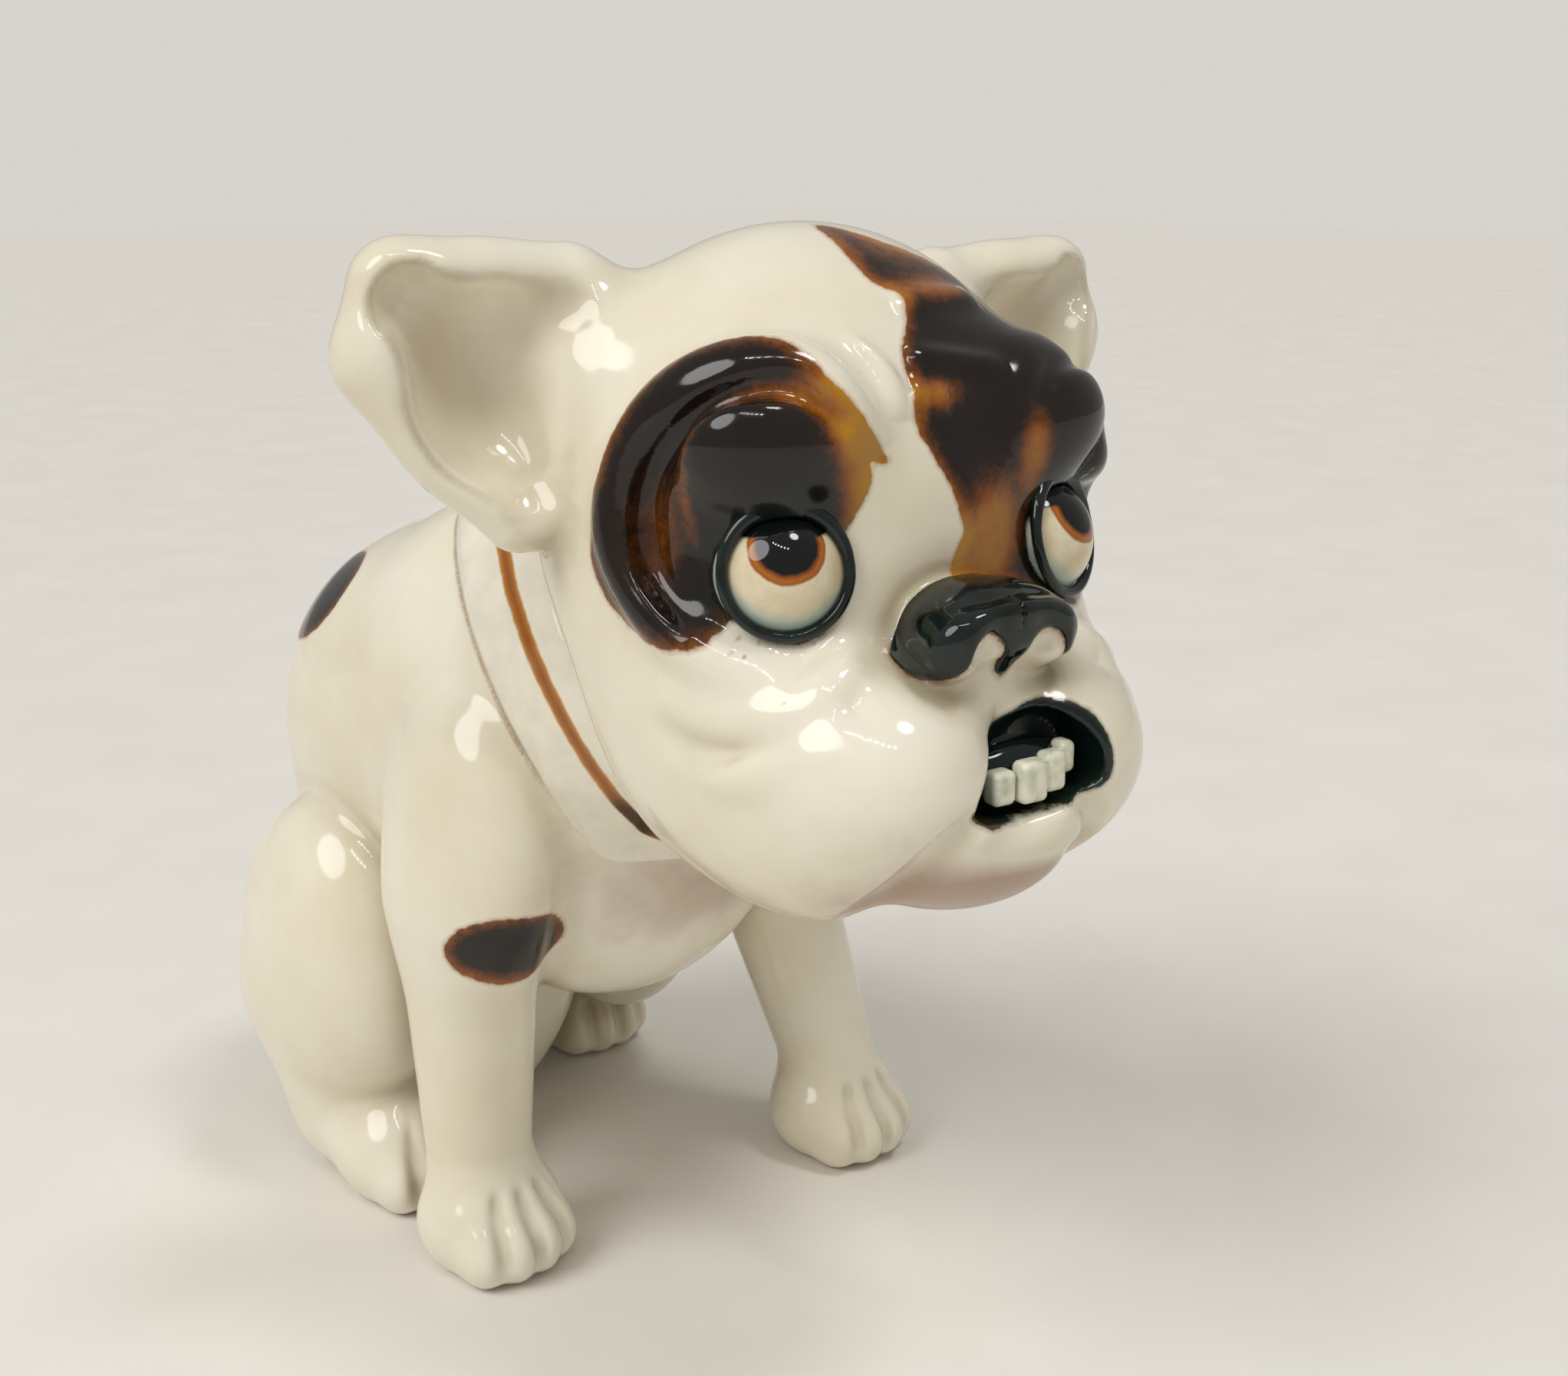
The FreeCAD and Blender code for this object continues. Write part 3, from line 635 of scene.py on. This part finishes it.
def body_marks(p, ways):
    """The same for the body, with the seam behind the collar."""
    shoulder = spot(p, (-27.3, -46, 50), (8, 9, 5.2), (35, 12, 0))
    back = spot(p, (-20, 7, 87.5), (7.5, 8, 10.5), (0, -25, 0))
    seam = 0.35 - np.abs(along_collar(p) + COLLAR_EDGE + 0.1) - np.clip(body_only(p) - 0.6, 0, 9)
    seam = seam - np.clip((76 - p[:, 2]) * 0.08, 0, 5)
    # Painted shade on the chest under the head; glaze pooled in creases and hollows, with painted shade
    # there.
    return {"black": np.maximum(shoulder, back), "thin": 0.25 * glow(p, (-29, -46, 46), (7, 9, 3)),
            "green": np.zeros(len(p)), "seam": seam,
            "shade": 0.8 * glow(p, (0, -52, 58), (20, 12, 10)),
            "pool": hollowness(body_clay, p, ways), "wide_pool": hollowness(body_clay, p, ways, 5.0)}


def collar_marks(p, ways):
    """The amber stripe, its dark place at the throat and the seam along the back edge."""
    s = along_collar(p)
    return {"stripe": 1.0 - np.abs(s) - np.clip((66 - p[:, 2]) * 0.6, 0, 5),
            "dark": glow(p, (-18, -58, 68), (7, 8, 6)),
            "seam": 0.5 - np.abs(s + COLLAR_EDGE - 0.1) - np.clip((74 - p[:, 2]) * 0.15, 0, 5)}


LID_HEIGHT = 3.7                        # the painted lid starts this far above the ring's middle
IRIS_WAY = EYE_WAY + np.array([0.02, 0, 0.5])
IRIS_WAY = IRIS_WAY / np.linalg.norm(IRIS_WAY)


def eye_marks(side):
    """Marks for one eye: distances from the iris's middle and the eye's axis, height and lid."""
    mirror = np.array([side, 1, 1])

    def marks(p, ways):
        angle = np.arccos(np.clip(ways @ (IRIS_WAY * mirror), -1, 1))
        out = length(np.cross(ways, EYE_WAY * mirror))
        return {"from_iris": angle * EYE_RADIUS, "rim": out * EYE_RADIUS, "height": ways[:, 2],
                "lid": (p - RING_MIDDLE * mirror)[:, 2] - LID_HEIGHT}
    return marks


def bare(points, ways):
    """No marks, for a piece of one glaze."""
    return {}


# ---- Materials ------------------------------------------------------------------------------------
CREAM, IVORY = (0.84, 0.79, 0.66), (0.77, 0.70, 0.53)
# Olive, first on the line below: glaze pooled in creases, with painted shade. The second one: painted shade
# in broad hollows, partly pooled glaze.
OLIVE, POOL_AND_SHADE_TINT = (0.30, 0.245, 0.12), (0.56, 0.47, 0.32)
# The first colour on the line below: painted shadow under the jaw and on the chest under the head.
PAINTED_SHADE, SEAM_BROWN = (0.40, 0.27, 0.20), (0.33, 0.20, 0.09)


class Nodes:
    """Shorthand for one material's node tree."""

    def __init__(self, name):
        self.material = bpy.data.materials.new(name)
        self.material.use_nodes = True
        self.tree = self.material.node_tree
        self.shader = self.tree.nodes["Principled BSDF"]

    def node(self, kind, **settings):
        """A new node with these settings."""
        made = self.tree.nodes.new(kind)
        for key, value in settings.items():
            setattr(made, key, value)
        return made

    def link(self, source, target):
        """Join an output to an input."""
        self.tree.links.new(source, target)

    def mark(self, name):
        """A mark that the mesh carries at each point."""
        return self.node("ShaderNodeAttribute", attribute_name=name).outputs["Fac"]

    def noise(self, scale, detail=3.0, roughness=0.55):
        """Noise in the object's own place; scale is features per millimetre."""
        place = self.node("ShaderNodeTexCoord")
        made = self.node("ShaderNodeTexNoise")
        made.inputs["Scale"].default_value = scale / MM
        made.inputs["Detail"].default_value = detail
        made.inputs["Roughness"].default_value = roughness
        self.link(place.outputs["Object"], made.inputs["Vector"])
        return made.outputs["Fac"]

    def add(self, *terms):
        """Sum of (output, factor) pairs and numbers."""
        total = None
        constant = sum(t for t in terms if not isinstance(t, tuple))
        for output, factor in (t for t in terms if isinstance(t, tuple)):
            step = self.node("ShaderNodeMath", operation="MULTIPLY_ADD")
            self.link(output, step.inputs[0])
            step.inputs[1].default_value = factor
            if total is None:
                step.inputs[2].default_value = constant
            else:
                self.link(total, step.inputs[2])
            total = step.outputs[0]
        return total

    def ramp(self, value, stops, low=0.0, high=1.0):
        """Colour ramp over low..high; stops are (value, colour or grey)."""
        spread = self.node("ShaderNodeMapRange")
        spread.inputs["From Min"].default_value = low
        spread.inputs["From Max"].default_value = high
        self.link(value, spread.inputs["Value"])
        made = self.node("ShaderNodeValToRGB")
        ramp = made.color_ramp
        while len(ramp.elements) < len(stops):
            ramp.elements.new(0.5)
        for element, (at, colour) in zip(ramp.elements, stops):
            element.position = (at - low) / (high - low)
        for element, (at, colour) in zip(ramp.elements, stops):
            element.color = (*colour, 1) if isinstance(colour, tuple) else (colour, colour, colour, 1)
        self.link(spread.outputs["Result"], made.inputs["Fac"])
        return made.outputs["Color"]

    def mix(self, factor, first, second):
        """Colour between first (0) and second (1); each is a colour, a number or an output."""
        made = self.node("ShaderNodeMix", data_type="RGBA")
        sockets = [i for i in made.inputs if i.enabled]
        for socket, value in zip(sockets, (factor, first, second)):
            if isinstance(value, tuple):
                socket.default_value = (*value, 1)
            elif isinstance(value, (int, float)):
                socket.default_value = value
            else:
                self.link(value, socket)
        return [o for o in made.outputs if o.enabled][0]

    def clouds(self, scale, detail, first, second, low=0.35, high=0.7, most=1.0):
        """The first colour with clouds of the second where the noise passes low to high."""
        return self.mix(self.ramp(self.noise(scale, detail), [(low, 0.0), (high, most)]), first, second)

    def finish(self, colour, gloss=(0.07, 0.13), bump=0.05):
        """Glaze with a faint orange-peel; gloss is the least and the most roughness."""
        self.link(colour, self.shader.inputs["Base Color"])
        rough = self.ramp(self.noise(0.25, 2), [(0.3, gloss[0]), (0.7, gloss[1])])
        self.link(rough, self.shader.inputs["Roughness"])
        peel = self.node("ShaderNodeBump")
        peel.inputs["Strength"].default_value = bump
        peel.inputs["Distance"].default_value = 0.0006
        self.link(self.noise(0.16, 1), peel.inputs["Height"])
        self.link(peel.outputs["Normal"], self.shader.inputs["Normal"])
        self.shader.inputs["IOR"].default_value = 1.47
        return self.material


def cream_colour(n):
    """Ivory glaze, yellowed where it pools in creases and hollows together with painted shade there, and
    with painted shadow under the jaw and the head.
    """
    cream = n.clouds(0.05, 4, CREAM, IVORY)
    # Painted shade in broad hollows and the ear bowls, partly pooled glaze.
    cream = n.mix(n.ramp(n.mark("wide_pool"), [(0.12, 0.0), (0.85, 0.7)]), cream, POOL_AND_SHADE_TINT)
    # Painted shadow under the jaw and on the chest under the head.
    shade_amount = n.add((n.mark("shade"), 1.0), (n.noise(0.15, 3), 0.5), -0.25)
    cream = n.mix(n.ramp(shade_amount, [(0.1, 0.0), (0.8, 0.85)]), cream, PAINTED_SHADE)
    # Glaze pooled in creases, with painted shade there.
    pool_and_shade_amount = n.add((n.mark("pool"), 1.0), (n.noise(0.4, 3), 0.2), -0.1)
    return n.mix(n.ramp(pool_and_shade_amount, [(0.25, 0.0), (0.8, 0.75)]), cream, OLIVE)


def painted_glaze(name, seam=False):
    """Cream with black-brown paint that thins to amber, and green-black in the mouth and round the eyes."""
    n = Nodes(name)
    cream = cream_colour(n)
    depth = n.add((n.mark("black"), 1.0), (n.noise(0.6, 4, 0.6), 0.9), -0.45)
    streaks = n.noise(0.7, 5, 0.75)
    capped = n.node("ShaderNodeMath", operation="MINIMUM")
    n.link(depth, capped.inputs[0])
    capped.inputs[1].default_value = 2.2
    inner = n.add((capped.outputs[0], 1.0), (n.mark("thin"), -3.6), (streaks, 2.4), -1.2)
    brown = n.ramp(inner, [
        (-2.6, (0.43, 0.20, 0.015)), (-1.2, (0.36, 0.13, 0.008)), (-0.2, (0.24, 0.07, 0.006)),
        (0.7, (0.085, 0.026, 0.005)), (1.4, (0.016, 0.008, 0.005)), (3.0, (0.005, 0.004, 0.004))], -4, 4)
    green = n.ramp(depth, [(0.0, (0.02, 0.035, 0.02)), (0.6, (0.004, 0.010, 0.008))], -1, 2)
    paint = n.mix(n.mark("green"), brown, green)
    colour = n.mix(n.ramp(depth, [(-0.5, 0.0), (-0.1, 0.35), (0.12, 1.0)], -1, 1), cream, paint)
    if seam:
        line = n.add((n.mark("seam"), 1.0), (n.noise(0.3, 3), 0.5), -0.25)
        colour = n.mix(n.ramp(line, [(-0.3, 0.0), (0.2, 0.7)], -1, 1), colour, SEAM_BROWN)
    return n.finish(colour)


def collar_glaze(name):
    """Cream with an amber stripe and a brown seam."""
    n = Nodes(name)
    cream = n.clouds(0.22, 4, CREAM, (0.62, 0.58, 0.47), 0.35, 0.75, 0.5)
    line = n.add((n.mark("stripe"), 1.0), (n.noise(0.35, 3), 0.6), -0.3)
    amber = n.ramp(line, [
        (0.0, (0.50, 0.22, 0.03)), (0.5, (0.36, 0.12, 0.008)), (0.9, (0.28, 0.08, 0.006))], -1, 1)
    amber = n.mix(n.ramp(n.mark("dark"), [(0.35, 0.0), (0.8, 0.9)]), amber, (0.03, 0.012, 0.006))
    colour = n.mix(n.ramp(line, [(-0.25, 0.0), (0.1, 1.0)], -1, 1), cream, amber)
    edge = n.add((n.mark("seam"), 1.0), (n.noise(0.3, 3), 0.4), -0.2)
    colour = n.mix(n.ramp(edge, [(-0.3, 0.0), (0.3, 0.75)], -1, 1), colour, SEAM_BROWN)
    return n.finish(colour, bump=0.12)


def eye_glaze(name):
    """Yellowed white, green towards the low rim, a black pupil with an amber edge, and a black lid."""
    n = Nodes(name)
    white = n.clouds(0.3, 3, (0.78, 0.69, 0.50), (0.66, 0.55, 0.34))
    low_rim = n.add((n.mark("rim"), 1.0), (n.mark("height"), -3.0), (n.noise(0.6, 3), 0.6))
    white = n.mix(n.ramp(low_rim, [(5.6, 0.0), (7.2, 0.85)], 0, 10), white, (0.36, 0.50, 0.45))
    edge = n.add((n.mark("from_iris"), 1.0), (n.noise(0.5, 4), 0.5), -0.25)
    iris = n.ramp(edge, [
        (3.15, (0.004, 0.004, 0.004)), (3.45, (0.22, 0.06, 0.008)), (3.8, (0.42, 0.13, 0.012)),
        (4.3, (0.30, 0.08, 0.008))], 0, 6)
    colour = n.mix(n.ramp(edge, [(4.2, 1.0), (4.45, 0.0)], 0, 6), white, iris)
    lid = n.add((n.mark("lid"), 1.0), (n.noise(0.4, 3), 0.6), -0.3)
    colour = n.mix(n.ramp(lid, [(-0.15, 0.0), (0.15, 1.0)], -1, 1), colour, (0.004, 0.005, 0.005))
    return n.finish(colour, gloss=(0.04, 0.07), bump=0.02)


def dark_glaze(name, tint, shine):
    """Two dark colours in clouds."""
    n = Nodes(name)
    return n.finish(n.clouds(0.35, 4, tint, shine), gloss=(0.05, 0.1))


def tooth_glaze(name):
    """Cream with olive clouds."""
    n = Nodes(name)
    return n.finish(n.clouds(0.5, 3, (0.78, 0.76, 0.62), (0.45, 0.48, 0.33), 0.4, 0.7, 0.8))


def build(name, field, low, high, cell, place, marks, material, nodes):
    """One visual piece: the skin of a field, its painted marks and its material."""
    points, quads = skin(field, low, high, cell)
    ways = gradient(field, points)
    mesh = bpy.data.meshes.new(name)
    row = place(points) * MM
    mesh.from_pydata(row.tolist(), [], quads.tolist())
    mesh.validate()
    mesh.shade_smooth()
    for mark, values in marks(points, ways).items():
        layer = mesh.attributes.new(mark, "FLOAT", "POINT")
        layer.data.foreach_set("value", values.astype(np.float32))
    mesh.normals_split_custom_set_from_vertices((place(points + ways) - place(points)).tolist())
    piece = bpy.data.objects.new(name, mesh)
    bpy.context.collection.objects.link(piece)
    mesh.materials.append(material)
    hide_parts(*nodes)
    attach(piece, "root")


cream_body, cream_head = painted_glaze("cream glaze", seam=True), painted_glaze("painted glaze")
amber, eyes = collar_glaze("amber and cream glaze"), eye_glaze("eye glaze")
black = dark_glaze("black glaze", (0.004, 0.006, 0.005), (0.010, 0.020, 0.016))
low, high = (np.array(c) / MM for c in cad_box)
build("glazed_body", body_clay, low - 2, high + 2, CELL, as_is, body_marks, cream_body,
      ["body_casting", "front_leg_left", "front_leg_right", "hind_leg_left", "hind_leg_right", "tail"])
build("glazed_head", head_clay, (-58, -62, -24), (58, 20, 58), CELL, in_row, head_marks, cream_head,
      ["head_casting", "lower_jaw", "ear_left", "ear_right"])
build("collar_band", collar_band, (-36, -76, 46), (36, 6, 118), FINE_CELL * 1.5, as_is, collar_marks, amber,
      ["collar"])
build("nose_pad", nose_clay, (-12, -64, 2), (12, -44, 20), FINE_CELL, in_row, bare, black, ["nose"])
build("front_teeth", tooth_row, (-5, -60, -10), (11, -52, 1), FINE_CELL, in_row, bare,
      tooth_glaze("tooth glaze"), ["teeth"])
for side, name in ((1, "left"), (-1, "right")):
    centre, ring = EYE * [side, 1, 1], RING_MIDDLE * [side, 1, 1]
    build("eye_ball_" + name, side_of(eye_ball, side), centre - 9, centre + 9, FINE_CELL, in_row,
          eye_marks(side), eyes, ["eye_" + name])
    build("eye_ring_" + name, side_of(ring_clay, side), ring - 10, ring + 10, FINE_CELL, in_row,
          bare, black, ["eye_rim_" + name])


# ---- Floor, light and camera ---------------------------------------------------------------------
CAMERA_AZIMUTH, CAMERA_ELEVATION, CAMERA_DISTANCE = -44.1, 15.7, 0.2385     # degrees, degrees, metres
AIM_SHIFT = (-0.0011, -0.0305, 0.0143)  # from the middle of the CAD box to what the camera aims at
FLOOR_HALF = 3                          # metres
SPOTS, SPOT_WATTS, SPOT_SIZE = 6, 0.16, 0.024       # number, watts, metres across


def floor_card():
    """Pale, dull card with faint clouds."""
    n = Nodes("floor card")
    n.link(n.ramp(n.noise(0.03, 4), [(0.3, (0.80, 0.77, 0.71)), (0.7, (0.84, 0.81, 0.75))]),
           n.shader.inputs["Base Color"])
    n.shader.inputs["Roughness"].default_value = 0.6
    return n.material


def place_object(name, data, location, toward=None):
    """A new object there, facing toward a point if one is given."""
    thing = bpy.data.objects.new(name, data)
    bpy.context.collection.objects.link(thing)
    thing.location = location
    if toward is not None:
        thing.rotation_euler = (Vector(toward) - Vector(location)).to_track_quat("-Z", "Y").to_euler()
    return thing


def lamp(name, watts, size, location, toward):
    """A small round lamp."""
    data = bpy.data.lights.new(name, "AREA")
    data.energy, data.size, data.shape = watts, size, "DISK"
    return place_object(name, data, location, toward)


def sun(name, strength, spread, location, toward):
    """A light from far away that looks spread degrees wide."""
    data = bpy.data.lights.new(name, "SUN")
    data.energy, data.angle = strength, math.radians(spread)
    return place_object(name, data, location, toward)


def around(centre, azimuth, elevation, distance):
    """A place at that bearing and distance from centre."""
    return Vector(centre) + distance * Vector(heading(azimuth, elevation))


aim = (cad_box[0] + cad_box[1]) / 2 + Vector(AIM_SHIFT)
camera_data = bpy.data.cameras.new("camera")
camera_data.lens, camera_data.sensor_width = 44.5, 36
camera_data.clip_start = 0.01
camera_place = around(aim, CAMERA_AZIMUTH, CAMERA_ELEVATION, CAMERA_DISTANCE)
bpy.context.scene.camera = place_object("camera", camera_data, camera_place, aim)

floor_mesh = bpy.data.meshes.new("floor")
floor_corners = [(x * FLOOR_HALF, y * FLOOR_HALF, 0) for x, y in ((-1, -1), (1, -1), (1, 1), (-1, 1))]
floor_mesh.from_pydata(floor_corners, [], [(0, 1, 2, 3)])
floor_mesh.materials.append(floor_card())
floor = place_object("floor", floor_mesh, (0, 0, 0))

sun("window", 1.5, 34, around(aim, -95, 45, 2.0), aim)
sun("ceiling", 0.6, 12, around(aim, 20, 68, 2.0), aim)
for i in range(SPOTS):
    lamp("spot %d" % (i + 1), SPOT_WATTS, SPOT_SIZE, around(aim, -64 + 8 * i, 62 - 2 * i, 1.0), aim)

world = bpy.data.worlds.new("studio")
bpy.context.scene.world = world
world.use_nodes = True
# The camera sees a plain warm wall; the light that falls on the dog is dimmer and cooler.
sky = world.node_tree
lit, seen = sky.nodes["Background"], sky.nodes.new("ShaderNodeBackground")
lit.inputs["Color"].default_value = (0.82, 0.80, 0.77, 1)
lit.inputs["Strength"].default_value = 0.45
seen.inputs["Color"].default_value = (0.68, 0.655, 0.605, 1)
rays, either = sky.nodes.new("ShaderNodeLightPath"), sky.nodes.new("ShaderNodeMixShader")
sky.links.new(rays.outputs["Is Camera Ray"], either.inputs["Fac"])
sky.links.new(lit.outputs["Background"], either.inputs[1])
sky.links.new(seen.outputs["Background"], either.inputs[2])
sky.links.new(either.outputs["Shader"], sky.nodes["World Output"].inputs["Surface"])
bpy.context.scene.view_settings.view_transform = "Standard"
